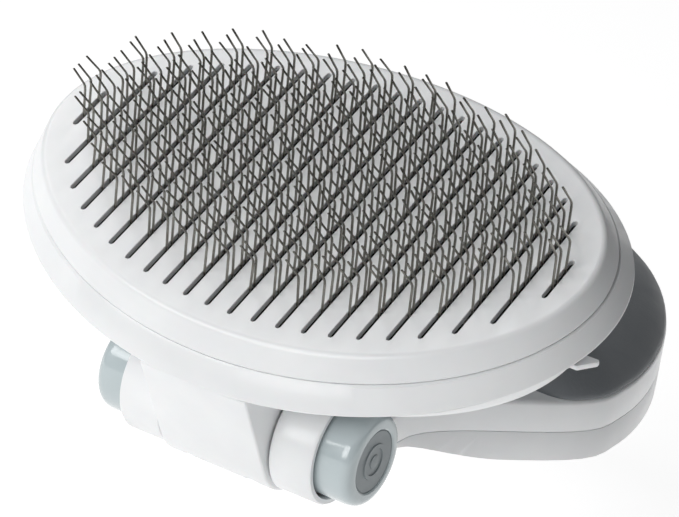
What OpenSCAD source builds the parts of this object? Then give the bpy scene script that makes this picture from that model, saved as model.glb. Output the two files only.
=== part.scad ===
// Slicker brush with a retracting pin bed and a folding palm handle.
// The handle lies flat on z = 0 with the origin under its middle; the hinge runs along X at its front.
// Millimetres, +Z up; the pins lean towards -Y.

/* [Layout] */
// Position of the hinge axis in front of the origin
hinge_y = -50; // [-60:1:-40]

/* [Head] */
// Angle of the head above the handle when folded
head_tilt = 24; // [20:0.5:28]
// Height of the hinge axis above the resting face
axis_z = 10.2; // [10:0.1:11]
// Distance of the hinge axis in front of the middle of the face
axis_front = 25.2; // [25:0.1:25.6]
// Depth of the hinge axis below the face
axis_depth = 25.2; // [25:0.1:26]
// Half length of the head at the level of the face
head_half_x = 50.4; // [50:0.1:51]
// Half width of the head at the level of the face
head_half_y = 32.2; // [32:0.1:33]
// Outward flare of the side wall along X for each millimetre of depth
flare_x = 0.557; // [0.5:0.01:0.6]
// Outward flare of the side wall along Y for each millimetre of depth
flare_y = 0.689; // [0.65:0.01:0.72]
// Radius of the long hollow curve of the face
face_curve = 525; // [450:5:700]
// Thickness of the face plate
face_t = 0.9; // [0.8:0.1:1.2]
// Depth of the parting line between face plate and rim
seam_depth = 3.9; // [3.6:0.1:4.2]
// Depth of the lower lip of the rim
lip_depth = 8.2; // [8:0.1:8.4]
// Side wall thickness of the head shells
head_wall = 2; // [1.6:0.1:2.2]
// Depth of the outside of the back cover
cover_depth = 15.3; // [15.2:0.05:15.4]
// Thickness of the back cover
cover_t = 1.2; // [1:0.1:1.3]

/* [Pins] */
// Number of slots, one row of pins in each
slot_count = 22; // [20:1:22]
// Distance from slot to slot
slot_pitch = 4.2; // [4.2:0.05:4.3]
// Width of a slot
slot_w = 0.86; // [0.8:0.02:1]
// Half length of the longest slot
slot_half = 28.3; // [27:0.1:28.4]
// Half length of the slotted area along X
slot_area_half_x = 44.7; // [44.6:0.1:45]
// Thickness of a pin
pin_t = 0.42; // [0.36:0.02:0.44]
// Distance from one pair of pins to the next along a slot
pair_pitch = 3.8; // [3.6:0.1:4.2]
// Distance between the two pins of a pair
pair_gap = 1.7; // [1.4:0.1:1.9]
// Height of the knee above the face
knee_h = 4.8; // [4.6:0.1:5.4]
// Lean of the leg at the knee
knee_lean = 1.6; // [1:0.02:1.8]
// Height of the tips above the face
tip_h = 10.2; // [9.8:0.1:10.3]
// Lean of the tip back past the root
tip_lean = -0.75; // [-1.3:0.01:-0.5]

/* [Hinge barrel] */
// Radius of the saddle that carries the head
saddle_r = 10; // [9.8:0.1:10.1]
// Half width of the saddle
saddle_half = 10; // [9.5:0.1:10]
// Outer radius of the fork rings
ring_r = 9.4; // [9.2:0.1:9.4]
// Distance from the middle to the outer end of a ring
ring_end = 18.2; // [18:0.1:18.4]
// Radius of the hinge axle
axle_r = 4; // [3.8:0.1:4.2]
// Radius of a push button
button_r = 7.8; // [7.6:0.1:7.9]
// Distance from the middle to the end of a button
button_end = 24.2; // [24:0.1:24.5]

/* [Handle] */
// Distance from the hinge axis to the tip
handle_l = 115.3; // [112:0.1:118]
// Half width of the neck
neck_half = 18.2; // [18.2:0.1:18.4]
// Half width of the palm
palm_half = 39.5; // [38:0.1:41]
// Length of the tapered round end
tip_l = 58; // [54:0.5:60]
// Roundness of the end, two is an ellipse
tip_power = 1.69; // [1.5:0.01:2.2]
// Height of the parting line
parting_z = 5.2; // [4.8:0.1:5.4]
// Height of the top edge of the upper shell
upper_z = 10.9; // [10.6:0.1:11.2]
// Height of the top of the grip inlay
grip_z = 15.6; // [15:0.1:16]

/* [Hidden] */

sliver = 0.01;
ellipse_steps = 96;
curve_steps = 24;
curve_reach = 60;
tall = 60;

carrier_top = -1.9;
carrier_t = 1.5;
carrier_a = 45;
carrier_b = 28.6;
carrier_travel = 10.4;
root_depth = 3;
tip_margin = 2.4;
first_pin = 5.8;
first_pin_share = 0.29;
slot_shift = -0.3;

// Head cross sections: [half x, half y, z]
head_top = [head_half_x - flare_x * 4, head_half_y - flare_y * 4, 4];
head_low = [head_half_x + flare_x * 10, head_half_y + flare_y * 10, -10];
cover_low = [45.2, 28.6, -cover_depth];
cover_mid = [46.6, 30, -14.1];
cover_high = [52.6, 40.5, -5];

saddle_front = -37.2;
saddle_back = -12;

screw_r = 1;
screw_head_r = 1.6;
screw_head_t = 1.5;
pilot_r = 1.02;
clearance_r = 1.15;
sink_r = 1.75;
boss_r = 1.75;
cover_screw_angles = [45, 90, 135, 205];
cover_screw_a = 47.1;
cover_screw_b = 30.7;
cover_screw_seat = -11.9;
face_boss_end = -10;
saddle_screw_x = 6;
saddle_screw_y = -32.4;
saddle_screw_seat = -16;

post_r = 1.2;
post_fit = 0.06;
post_x = 33.6;
post_y = 12;

pad_a = 14;
pad_b = 11;
pad_y = 8;
pad_gap = 0.4;
pad_screw_x = 8.4;
pad_wall = 1.6;

tab_gap = 0.3;
tab_low = -12.2;
tab_t = 1;
tab_corners = [[45.3, -4.2], [48.9, -4.2], [51.3, -2], [51.3, -1.4], [45.3, -1.4]];
riser_half_y = 4;
riser_t = 1.2;
riser_top = -3.1;
latch_spring_y = 3;
latch_spring_z = -5.8;
latch_spring_l = 2.8;

web_in = saddle_half + 0.3;
web_out = 13.2;
ring_bore_r = 8.3;
axle_fit = 0.08;
plunger_r = 2.5;
plunger_in = 6.3;
axle_bore_r = 2.6;
button_in = 16.6;
button_wall = 1.3;
button_face_t = 1.4;
button_round = 1.4;
badge_r = 5.25;
badge_t = 0.5;

neck_start = 13;
outline_steps = 40;
flare_start = 20;
flare_end = 52;
shell_wall = 2;
shell_floor = 1.8;
tongue_in = 11.5;
tongue_out = 15.8;
tongue_low = 5.5;
tongue_high = 9;
tongue_end = 27;
tongue_gap = 0.15;
arm_low = 4.6;
ramp_rise = 4.6;
ramp_start = 14;
ramp_end = 36;
hollow_start = 38;
grip_start = 42;
grip_corner = 6;
grip_edge = 0.3;
grip_ridge = 8;
grip_dish = 0.9;
handle_screw_r = 1.2;
handle_screw_head_r = 2.2;
handle_screw_seat = 1.3;
post_outer_r = 3.4;
handle_posts = [[-26, 55], [26, 55], [0, 98]];

function ellipse_points(a, b) =
    [for (i = [0:ellipse_steps - 1]) let (t = 360 * i / ellipse_steps) [a * cos(t), b * sin(t)]];

function curve_z(x) = face_curve - sqrt(face_curve * face_curve - x * x);

function curve_line(z) =
    [for (i = [-curve_steps:curve_steps]) let (x = curve_reach * i / curve_steps) [x, z + curve_z(x)]];

function smooth(from, to, x) =
    let (q = min(1, max(0, (x - from) / (to - from)))) q * q * (3 - 2 * q);

function slot_half_at(x) =
    slot_half * sqrt(1 - pow(x / slot_area_half_x, 2));

function slot_x(i) = (i - (slot_count - 1) / 2) * slot_pitch;

function palm_width(s) = neck_half + (palm_half - neck_half) * smooth(flare_start, flare_end, s);

function end_share(s) = min(1, max(0, (s - handle_l + tip_l) / tip_l));

function half_width(s) =
    palm_width(s) * pow(max(0, 1 - pow(end_share(s), tip_power)), 1 / tip_power);

// Stations along the handle, closer together towards the tip
function stations(from, to, count) =
    [for (i = [0:count]) from + (to - from) * sin(90 * i / count)];

// Outline of the handle from one station to the tip
function handle_outline(from) =
    let (side = stations(from, handle_l, outline_steps))
    concat(
        [for (y = side) [half_width(y), y]],
        [for (i = [outline_steps - 1:-1:0]) [-half_width(side[i]), side[i]]]
    );

module from_hinge() {
    translate([0, hinge_y, 0])
        children();
}

module in_head() {
    translate([0, hinge_y, axis_z])
        rotate([head_tilt, 0, 0])
            translate([0, axis_front, axis_depth])
                children();
}

module loft(sections) {
    hull()
        for (s = sections)
            translate([0, 0, s[2]])
                linear_extrude(sliver)
                    polygon(ellipse_points(s[0], s[1]));
}

module across_y() {
    rotate([90, 0, 0])
        linear_extrude(tall * 2, center = true)
            children();
}

// Everything above, or below, the long curve at height z
module above(z) {
    across_y()
        polygon(concat(curve_line(z), [[curve_reach, tall], [-curve_reach, tall]]));
}

module below(z) {
    across_y()
        polygon(concat(curve_line(z), [[curve_reach, -tall], [-curve_reach, -tall]]));
}

module head_outer() {
    loft([head_top, head_low]);
}

module head_inner() {
    loft([head_top - [head_wall, head_wall, 0], head_low - [head_wall, head_wall, 0]]);
}

module cover_outer() {
    loft([cover_high, cover_mid, cover_low]);
}

module cover_inner() {
    loft([cover_high - [cover_t * 1.2, cover_t * 1.2, 0], cover_mid - [cover_t, cover_t, 0]]);
}

module at_cover_screws() {
    for (t = cover_screw_angles)
        translate([cover_screw_a * cos(t), cover_screw_b * sin(t), 0])
            children();
}

module at_saddle_screws() {
    for (side = [-1, 1])
        translate([side * saddle_screw_x, saddle_screw_y, 0])
            children();
}

module at_posts() {
    for (x = [-post_x, post_x], y = [-post_y, post_y])
        translate([x, y, 0])
            children();
}

module rod(r, low, high) {
    translate([0, 0, low])
        cylinder(r = r, h = high - low, $fn = 32);
}

// Twelve-sided screw boss, so that it meets the walls on flat faces
module boss(low, high) {
    translate([0, 0, low])
        rotate([0, 0, 7])
            cylinder(r = boss_r, h = high - low, $fn = 12);
}

module slots() {
    for (i = [0:slot_count - 1]) {
        x = slot_x(i);
        half = slot_half_at(x);
        translate([x - slot_w / 2, slot_shift - half, -tall / 4])
            cube([slot_w, half * 2, tall / 2]);
    }
}

module face_plate() {
    color("white")
        in_head()
            difference() {
                union() {
                    difference() {
                        intersection() {
                            head_outer();
                            below(0);
                            above(-seam_depth);
                        }
                        intersection() {
                            head_inner();
                            below(-face_t);
                        }
                    }
                    at_cover_screws()
                        boss(face_boss_end, -face_t / 2);
                }
                slots();
                at_cover_screws()
                    rod(pilot_r, face_boss_end - 1, -4);
            }
}

module rim_shell() {
    color("white")
        in_head()
            difference() {
                union() {
                    difference() {
                        intersection() {
                            head_outer();
                            below(-seam_depth);
                            above(-lip_depth);
                        }
                        head_inner();
                    }
                    at_saddle_screws()
                        boss(-lip_depth, -4.2);
                }
                at_saddle_screws()
                    rod(pilot_r, -lip_depth - 1, -4.6);
            }
}

module pad_outline(grow) {
    polygon(ellipse_points(pad_a + grow, pad_b + grow));
}

module back_cover() {
    color("white")
        in_head()
            difference() {
                union() {
                    difference() {
                        intersection() {
                            cover_outer();
                            below(-lip_depth);
                        }
                        cover_inner();
                    }
                    intersection() {
                        cover_outer();
                        at_cover_screws()
                            boss(-14.5, face_boss_end);
                    }
                    intersection() {
                        cover_outer();
                        at_saddle_screws()
                            boss(-14, -lip_depth);
                    }
                }
                at_cover_screws() {
                    rod(clearance_r, -tall / 2, 0);
                    rod(sink_r - 0.05, -tall / 2, cover_screw_seat);
                }
                at_saddle_screws()
                    rod(clearance_r, -tall / 2, 0);
                translate([0, pad_y, -tall / 2])
                    linear_extrude(tall / 2 - 10)
                        pad_outline(pad_gap);
                translate([40, tab_corners[0][1] - tab_gap, tab_low - tab_gap])
                    cube([20, riser_half_y - tab_corners[0][1] + 2 * tab_gap, tab_t + 2 * tab_gap]);
                translate([40, -riser_half_y - tab_gap, tab_low])
                    cube([8.5, 2 * (riser_half_y + tab_gap), tab_low * -1 - 8.8]);
            }
}

module saddle_profile() {
    hull() {
        translate([-axis_front, -axis_depth])
            circle(r = saddle_r, $fn = 96);
        polygon([
            [saddle_front, -lip_depth - 0.1], [saddle_front + 7, -lip_depth - 0.1],
            [saddle_back, -cover_depth + 0.8], [saddle_back, -cover_depth - 0.9]
        ]);
    }
}

module hinge_saddle() {
    color("white")
        in_head()
            difference() {
                rotate([90, 0, 90])
                    linear_extrude(saddle_half * 2, center = true)
                        saddle_profile();
                cover_outer();
                translate([0, -axis_front, -axis_depth])
                    rotate([0, 90, 0])
                        cylinder(r = axle_r + 0.02, h = saddle_half * 3, center = true, $fn = 64);
                at_saddle_screws() {
                    rod(clearance_r, -tall / 2, 0);
                    rod(sink_r, -tall, saddle_screw_seat);
                }
            }
}

module along_x(from, to, r) {
    translate([from, 0, axis_z])
        rotate([0, 90, 0])
            cylinder(r = r, h = to - from, $fn = 64);
}

module hinge_axle() {
    color("silver")
        from_hinge()
            difference() {
                along_x(-web_out + 0.1, web_out - 0.1, axle_r);
                along_x(-web_out - 1, web_out + 1, axle_bore_r);
            }
}

module screw(seat, tip, shank_r, head_r) {
    rod(shank_r, seat, tip);
    rod(head_r, seat - screw_head_t, seat);
}

module cover_screws() {
    color("dimgray")
        in_head()
            at_cover_screws()
                screw(cover_screw_seat, -4.5, screw_r, screw_head_r);
}

module saddle_screws() {
    color("dimgray")
        in_head()
            at_saddle_screws()
                screw(saddle_screw_seat, -5, screw_r, screw_head_r);
}

module guide_posts() {
    color("silver")
        in_head()
            at_posts()
                rod(post_r, -14.1, -face_t + curve_z(post_x - post_r) - 0.02);
}

module pin_carrier() {
    color("gainsboro")
        in_head()
            difference() {
                translate([0, 0, carrier_top - carrier_t])
                    linear_extrude(carrier_t)
                        polygon(ellipse_points(carrier_a, carrier_b));
                at_posts()
                    rod(post_r + post_fit, -tall / 2, tall / 2);
                translate([0, pad_y, 0])
                    for (side = [-1, 1])
                        translate([side * pad_screw_x, 0, 0])
                            rod(clearance_r, -tall / 2, tall / 2);
            }
}

// Side outline of one cranked pin with its root at y
module pin_outline(y, lift) {
    h = pin_t / 2;
    polygon([
        [y - h, carrier_top - carrier_t + 0.4], [y + h, carrier_top - carrier_t + 0.4],
        [y + h, lift], [y + knee_lean + h, lift + knee_h], [y + tip_lean + h, lift + tip_h],
        [y + tip_lean - h, lift + tip_h], [y + knee_lean - h, lift + knee_h], [y - h, lift]
    ]);
}

module pins() {
    color("slategray")
        in_head()
            for (i = [0:slot_count - 1]) {
                x = slot_x(i);
                half = slot_half_at(x);
                first = slot_shift - half + min(first_pin, first_pin_share * half * 2);
                last = slot_shift + half - tip_margin;
                translate([x, 0, 0])
                    rotate([90, 0, 90])
                        linear_extrude(pin_t, center = true)
                            for (y = [first:pair_pitch:last], step = [0, pair_gap])
                                if (y + step <= last)
                                    pin_outline(y + step, curve_z(x));
            }
}

module push_pad() {
    color("lightslategray")
        in_head()
            translate([0, pad_y, 0])
                difference() {
                    translate([0, 0, -cover_depth])
                        linear_extrude(cover_depth + carrier_top - carrier_t)
                            pad_outline(0);
                    translate([0, 0, -cover_depth + 2])
                        linear_extrude(tall)
                            difference() {
                                pad_outline(-pad_wall);
                                for (side = [-1, 1])
                                    translate([side * pad_screw_x, 0])
                                        circle(r = 2.6, $fn = 32);
                            }
                    for (side = [-1, 1])
                        translate([side * pad_screw_x, 0, 0])
                            rod(pilot_r, -11, 0);
                }
}

module pad_screws() {
    color("dimgray")
        in_head()
            for (side = [-1, 1])
                translate([side * pad_screw_x, pad_y, 0]) {
                    rod(screw_r, -10.5, carrier_top - carrier_t);
                    rod(screw_r, carrier_top - carrier_t, carrier_top);
                }
}

// Latch slide that reaches out under the lip at the right-hand end
module release_tab() {
    color("white")
        in_head() {
            translate([0, 0, tab_low])
                linear_extrude(tab_t)
                    polygon(tab_corners);
            translate([carrier_a + tab_gap, -riser_half_y, tab_low])
                cube([riser_t, riser_half_y * 2, riser_top - tab_low]);
        }
}

module latch_springs() {
    color("silver")
        in_head()
            for (side = [-1, 1])
                translate([carrier_a + tab_gap + riser_t, side * latch_spring_y, latch_spring_z])
                    rotate([0, 90, 0])
                        difference() {
                            cylinder(r = 1, h = latch_spring_l, $fn = 32);
                            translate([0, 0, -1])
                                cylinder(r = 0.6, h = latch_spring_l + 2, $fn = 32);
                        }
}

module handle_layer(low, high, inset = 0) {
    translate([0, 0, low])
        linear_extrude(high - low)
            offset(delta = -inset)
                polygon(handle_outline(neck_start));
}

// Outline of the grip inlay, with its own round corners, drawn in by inset
module grip_layer(low, high, inset) {
    translate([0, 0, low])
        linear_extrude(high - low)
            offset(r = grip_corner)
                offset(delta = -grip_corner - inset)
                    polygon(handle_outline(grip_start));
}

module at_handle_posts() {
    for (p = handle_posts)
        translate([p[0], p[1], 0])
            children();
}

// Hollow of both shells, behind the solid neck
module handle_hollow() {
    intersection() {
        handle_layer(shell_floor, upper_z - shell_floor, shell_wall);
        translate([-tall, hollow_start, -tall])
            cube(tall * 4);
    }
}

// Relief under the neck, which rises towards the barrel
module neck_ramp() {
    rotate([90, 0, 90])
        linear_extrude(tall * 2, center = true)
            polygon(concat(
                [for (y = [neck_start - 1:1:ramp_end]) [y, ramp_rise * (1 - smooth(ramp_start, ramp_end, y))]],
                [[ramp_end, -1], [neck_start - 1, -1]]
            ));
}

module tongues(gap) {
    for (side = [-1, 1])
        translate([side > 0 ? tongue_in - gap : -tongue_out - gap, neck_start - gap, tongue_low - gap])
            cube([
                tongue_out - tongue_in + 2 * gap,
                tongue_end - neck_start + gap,
                tongue_high - tongue_low + 2 * gap
            ]);
}

module yoke_bar(gap) {
    translate([-tongue_out - gap, neck_start + shell_wall - gap, tongue_low - gap])
        cube([2 * (tongue_out + gap), 10 + 2 * gap, tongue_high - tongue_low + 2 * gap]);
}

module handle_lower_shell() {
    color("whitesmoke")
        from_hinge()
            difference() {
                union() {
                    difference() {
                        handle_layer(0, parting_z);
                        handle_hollow();
                    }
                    at_handle_posts()
                        rod(post_outer_r, 0.5, parting_z);
                }
                neck_ramp();
                at_handle_posts() {
                    rod(handle_screw_r + 0.15, -1, tall);
                    rod(handle_screw_head_r + 0.2, -1, handle_screw_seat);
                }
            }
}

module handle_upper_shell() {
    color("whitesmoke")
        from_hinge()
            difference() {
                union() {
                    difference() {
                        handle_layer(parting_z, upper_z);
                        handle_hollow();
                    }
                    at_handle_posts()
                        rod(post_outer_r, parting_z, upper_z - 1);
                }
                tongues(tongue_gap);
                yoke_bar(tongue_gap);
                at_handle_posts()
                    rod(handle_screw_r + 0.02, 0, upper_z - 1.2);
            }
}

module handle_screws() {
    color("dimgray")
        from_hinge()
            at_handle_posts() {
                rod(handle_screw_r, handle_screw_seat, upper_z - 1.4);
                rod(handle_screw_head_r, 0.2, handle_screw_seat);
            }
}

module grip_inlay() {
    color("dimgray")
        from_hinge()
            difference() {
                hull() {
                    grip_layer(upper_z, upper_z + 0.4, grip_edge);
                    grip_layer(upper_z, upper_z + 2.9, grip_edge + 3);
                    grip_layer(upper_z, grip_z, grip_ridge);
                }
                hull() {
                    grip_layer(grip_z - grip_dish, grip_z, grip_ridge + 4);
                    grip_layer(grip_z - sliver, grip_z + 1, grip_ridge + 2);
                }
            }
}

module fork_side() {
    difference() {
        union() {
            along_x(web_in, ring_end, ring_r);
            translate([web_in, 0, arm_low])
                cube([ring_end - web_in, neck_start, upper_z - arm_low]);
        }
        along_x(web_in - 1, ring_end + 1, axle_r + axle_fit);
        along_x(web_out, ring_end + 1, ring_bore_r);
    }
}

// Two fork rings on one cross bar; the bar and its tongues are held inside the handle
module handle_yoke() {
    color("white")
        from_hinge() {
            fork_side();
            mirror([1, 0, 0])
                fork_side();
            tongues(0);
            yoke_bar(0);
        }
}

module on_side(side) {
    mirror([side > 0 ? 0 : 1, 0, 0])
        translate([0, hinge_y, axis_z])
            rotate([0, 90, 0])
                children();
}

// Round cap turned about the hinge axis, with a hollow back and a shallow recess for the badge
module button(side) {
    rounding = [for (t = [0:10:90]) [
        button_r - button_round + button_round * cos(t), button_end - button_round + button_round * sin(t)
    ]];
    color("lightsteelblue")
        on_side(side)
            rotate_extrude($fn = 96)
                polygon(concat(
                    [
                        [0, button_end - button_face_t], [button_r - button_wall, button_end - button_face_t],
                        [button_r - button_wall, button_in], [button_r, button_in]
                    ],
                    rounding,
                    [
                        [badge_r + 0.05, button_end], [badge_r + 0.05, button_end - badge_t],
                        [0, button_end - badge_t]
                    ]
                ));
}

module badge(side) {
    color("slategray")
        on_side(side) {
            rod(badge_r, button_end - badge_t, button_end - 0.2);
            translate([0, 0, button_end - 0.2])
                difference() {
                    cylinder(r = 3, h = 0.2, $fn = 48);
                    translate([0, 0, -1])
                        cylinder(r = 2.3, h = 2, $fn = 48);
                }
        }
}

module plunger(side) {
    color("silver")
        on_side(side)
            rod(plunger_r, plunger_in, button_end - button_face_t);
}

module button_spring(side) {
    color("silver")
        on_side(side)
            difference() {
                rod(4.6, web_out + 0.1, button_end - button_face_t - 0.1);
                rod(3.6, 0, tall);
            }
}

module left_button() { button(-1); }
module left_badge() { badge(-1); }
module left_plunger() { plunger(-1); }
module left_button_spring() { button_spring(-1); }
module right_button() { button(1); }
module right_badge() { badge(1); }
module right_plunger() { plunger(1); }
module right_button_spring() { button_spring(1); }

face_plate();
rim_shell();
back_cover();
hinge_saddle();
hinge_axle();
cover_screws();
saddle_screws();
guide_posts();
pin_carrier();
pins();
push_pad();
pad_screws();
release_tab();
latch_springs();
handle_lower_shell();
handle_upper_shell();
grip_inlay();
handle_yoke();
handle_screws();
left_button();
left_badge();
left_plunger();
left_button_spring();
right_button();
right_badge();
right_plunger();
right_button_spring();
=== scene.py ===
"""Slicker brush: detailed pieces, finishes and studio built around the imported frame.

Pieces are modelled in millimetres in the frame of their own sub-assembly, and are then settled into
the row frame in metres, where each one rides on a body of the mechanism.
"""
import logging
import math
from collections.abc import Callable
from dataclasses import dataclass, field
from enum import Enum

import bpy
from mathutils import Matrix, Vector


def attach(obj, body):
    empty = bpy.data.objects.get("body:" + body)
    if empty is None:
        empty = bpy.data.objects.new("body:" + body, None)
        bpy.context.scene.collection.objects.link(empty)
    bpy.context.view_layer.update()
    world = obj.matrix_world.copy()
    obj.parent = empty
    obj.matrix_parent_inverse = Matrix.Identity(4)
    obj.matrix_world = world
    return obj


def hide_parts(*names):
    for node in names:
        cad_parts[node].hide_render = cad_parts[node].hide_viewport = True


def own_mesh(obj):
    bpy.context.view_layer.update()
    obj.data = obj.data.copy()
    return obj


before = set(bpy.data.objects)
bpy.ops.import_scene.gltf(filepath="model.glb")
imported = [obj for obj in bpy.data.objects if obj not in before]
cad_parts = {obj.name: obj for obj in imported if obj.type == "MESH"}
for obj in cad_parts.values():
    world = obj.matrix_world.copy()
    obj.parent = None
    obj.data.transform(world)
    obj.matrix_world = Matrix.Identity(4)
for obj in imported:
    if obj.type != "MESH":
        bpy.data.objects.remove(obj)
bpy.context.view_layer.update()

LOG = logging.getLogger("slicker_brush")
MM = 0.001
HINGE_Y = -50.0
AXIS_Z = 10.2
HEAD_TILT = 24.0
AXIS_BACK = 25.2

Section = tuple[float, float, float]
Point2 = tuple[float, float]
Piece = bpy.types.Object
Socket = bpy.types.NodeSocket


def shift(x: float, y: float, z: float) -> Matrix:
    """Matrix that moves by x, y and z."""
    return Matrix.Translation((x, y, z))


def turn_about(axis: str, degrees: float) -> Matrix:
    """Matrix that turns about an axis."""
    return Matrix.Rotation(math.radians(degrees), 4, axis)


def around(wide: float, deep: float, degrees: float) -> Point2:
    """Point on an ellipse."""
    return wide * math.cos(math.radians(degrees)), deep * math.sin(math.radians(degrees))


COVER_SCREWS = [around(47.1, 30.7, degrees) for degrees in (45, 90, 135, 205)]
SADDLE_SCREWS = [(-6, -32.4), (6, -32.4)]
HANDLE_SCREWS = [(-26, 55), (26, 55), (0, 98)]
PAD_SCREWS = [(-8.4, 8), (8.4, 8)]
PAD = (14, 11, 8)
PAD_GAP = 0.4
GUIDE_POSTS = [(x, y) for x in (-33.6, 33.6) for y in (-12, 12)]
UPRIGHT_TO_X = Matrix(((0, 0, 1, 0), (1, 0, 0, 0), (0, 1, 0, 0), (0, 0, 0, 1)))


class Place(Enum):
    """Frames in which the sub-assemblies are modelled, as matrices in millimetres."""

    HEAD = shift(0, HINGE_Y, AXIS_Z) @ turn_about("X", HEAD_TILT) @ shift(0, AXIS_BACK, AXIS_BACK)
    HANDLE = shift(0, HINGE_Y, 0)
    RIGHT_BARREL = shift(0, HINGE_Y, AXIS_Z) @ turn_about("Y", 90)
    LEFT_BARREL = shift(0, HINGE_Y, AXIS_Z) @ turn_about("Y", -90)


class Body(Enum):
    """Bodies of the mechanism that pieces ride on."""

    HANDLE = "handle"
    HEAD = "head"
    PIN_BED = "pin_bed"
    LATCH = "latch"
    LEFT_PUSH = "left_push"
    RIGHT_PUSH = "right_push"


class NodeDesk:
    """A material under construction, with short calls for the nodes that the finishes share."""

    def __init__(self, name: str) -> None:
        """Starts a material with its shader and object coordinates.

        Args:
            name: Name of the material.
        """
        self.material = bpy.data.materials.new(name)
        self.material.use_nodes = True
        self.nodes = self.material.node_tree.nodes
        self.links = self.material.node_tree.links
        self.shader = self.nodes["Principled BSDF"]
        self.coordinates = self.nodes.new("ShaderNodeTexCoord").outputs["Object"]

    def stretched(self, stretch: Section, turn: Section = (0, 0, 0)) -> Socket:
        """Turns and stretches the object coordinates.

        Args:
            stretch: Scale along each axis.
            turn: Rotation about each axis in degrees.

        Returns:
            The mapped vector.
        """
        mapping = self.nodes.new("ShaderNodeMapping")
        mapping.inputs["Scale"].default_value = stretch
        mapping.inputs["Rotation"].default_value = [math.radians(a) for a in turn]
        self.links.new(self.coordinates, mapping.inputs["Vector"])
        return mapping.outputs["Vector"]

    def noise(self, size_mm: float, detail: float, vector: Socket | None = None) -> Socket:
        """Adds noise whose features are about size_mm across.

        Args:
            size_mm: Size of the largest features.
            detail: Number of finer octaves.
            vector: Coordinates to use in place of the plain ones.

        Returns:
            The noise value.
        """
        texture = self.nodes.new("ShaderNodeTexNoise")
        texture.inputs["Scale"].default_value = 1 / (size_mm * MM)
        texture.inputs["Detail"].default_value = detail
        self.links.new(vector or self.coordinates, texture.inputs["Vector"])
        return texture.outputs["Fac"]

    def cells(self, size_mm: float) -> Socket:
        """Adds smooth cells, as on a leather-grained mould.

        Args:
            size_mm: Size of a cell.

        Returns:
            The distance from the middle of each cell.
        """
        texture = self.nodes.new("ShaderNodeTexVoronoi")
        texture.feature = "SMOOTH_F1"
        texture.inputs["Scale"].default_value = 1 / (size_mm * MM)
        self.links.new(self.coordinates, texture.inputs["Vector"])
        return texture.outputs["Distance"]

    def remap(self, value: Socket, low: float, high: float, to: Point2) -> Socket:
        """Maps a value from one range to another.

        Args:
            value: The incoming value.
            low: Value that maps to the first end of the range.
            high: Value that maps to the second end.
            to: The outgoing range.

        Returns:
            The mapped value.
        """
        node = self.nodes.new("ShaderNodeMapRange")
        node.inputs["From Min"].default_value = low
        node.inputs["From Max"].default_value = high
        node.inputs["To Min"].default_value = to[0]
        node.inputs["To Max"].default_value = to[1]
        self.links.new(value, node.inputs["Value"])
        return node.outputs["Result"]

    def mix(self, factor: Socket, first: Section, second: Section) -> Socket:
        """Mixes two colours.

        Args:
            factor: Share of the second colour.
            first: First colour.
            second: Second colour.

        Returns:
            The mixed colour.
        """
        node = self.nodes.new("ShaderNodeMix")
        node.data_type = "RGBA"
        node.inputs[6].default_value = (*first, 1)
        node.inputs[7].default_value = (*second, 1)
        self.links.new(factor, node.inputs[0])
        return node.outputs[2]

    def bump(self, heights: list[tuple[Socket, float]]) -> None:
        """Stacks bumps onto the shader's normal.

        Args:
            heights: Height sockets, each with its depth in millimetres.
        """
        normal = None
        for value, depth_mm in heights:
            node = self.nodes.new("ShaderNodeBump")
            node.inputs["Distance"].default_value = depth_mm * MM
            self.links.new(value, node.inputs["Height"])
            if normal is not None:
                self.links.new(normal, node.inputs["Normal"])
            normal = node.outputs["Normal"]
        self.links.new(normal, self.shader.inputs["Normal"])

    def feed(self, **sockets: Socket) -> None:
        """Links sockets to the shader inputs named like them."""
        for name, socket in sockets.items():
            self.links.new(socket, self.shader.inputs[name.replace("_", " ")])

    def fix(self, **values: float) -> None:
        """Sets shader inputs that are the same all over the surface."""
        for name, value in values.items():
            self.shader.inputs[name.replace("_", " ")].default_value = value


@dataclass(frozen=True)
class MouldedPlastic:
    """Injection-moulded plastic with fine mould texture, slow waviness and faint handling marks."""

    name: str
    colour: Section
    shade: Section
    roughness: Point2
    grain_mm: float
    grain_depth: float
    wave_depth: float = 0.02
    coat: float = 0.0
    subsurface: float = 0.0

    def build(self) -> bpy.types.Material:
        """Makes the material.

        Returns:
            The finished material.
        """
        desk = NodeDesk(self.name)
        mottle = desk.remap(desk.noise(9.0, 4), 0.3, 0.7, (0, 1))
        wiped = desk.stretched((1, 0.25, 1), (20, 0, 35))
        rub = desk.remap(desk.noise(2.2, 6, wiped), 0.35, 0.7, self.roughness)
        desk.feed(Base_Color=desk.mix(mottle, self.colour, self.shade), Roughness=rub)
        desk.fix(Specular_IOR_Level=0.5, Coat_Weight=self.coat, Coat_Roughness=0.06)
        if self.subsurface:
            desk.fix(Subsurface_Weight=self.subsurface, Subsurface_Scale=0.0012)
        desk.bump([(desk.noise(14.0, 1), self.wave_depth), (desk.noise(self.grain_mm, 2), self.grain_depth)])
        return desk.material


@dataclass(frozen=True)
class SoftGrip:
    """Soft-touch rubber with a fine leather grain and lighter rubbed patches."""

    name: str
    colour: Section
    rubbed: Section
    cell_mm: float = 0.55
    depth: float = 0.035

    def build(self) -> bpy.types.Material:
        """Makes the material.

        Returns:
            The finished material.
        """
        desk = NodeDesk(self.name)
        patches = desk.remap(desk.noise(12.0, 5), 0.38, 0.72, (0, 1))
        desk.feed(
            Base_Color=desk.mix(patches, self.colour, self.rubbed),
            Roughness=desk.remap(desk.noise(5.0, 4), 0.3, 0.7, (0.48, 0.62)),
        )
        desk.fix(Specular_IOR_Level=0.4, Sheen_Weight=0.12, Sheen_Roughness=0.4)
        desk.bump([(desk.cells(self.cell_mm), self.depth), (desk.noise(0.2, 2), self.depth / 3)])
        return desk.material


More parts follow.
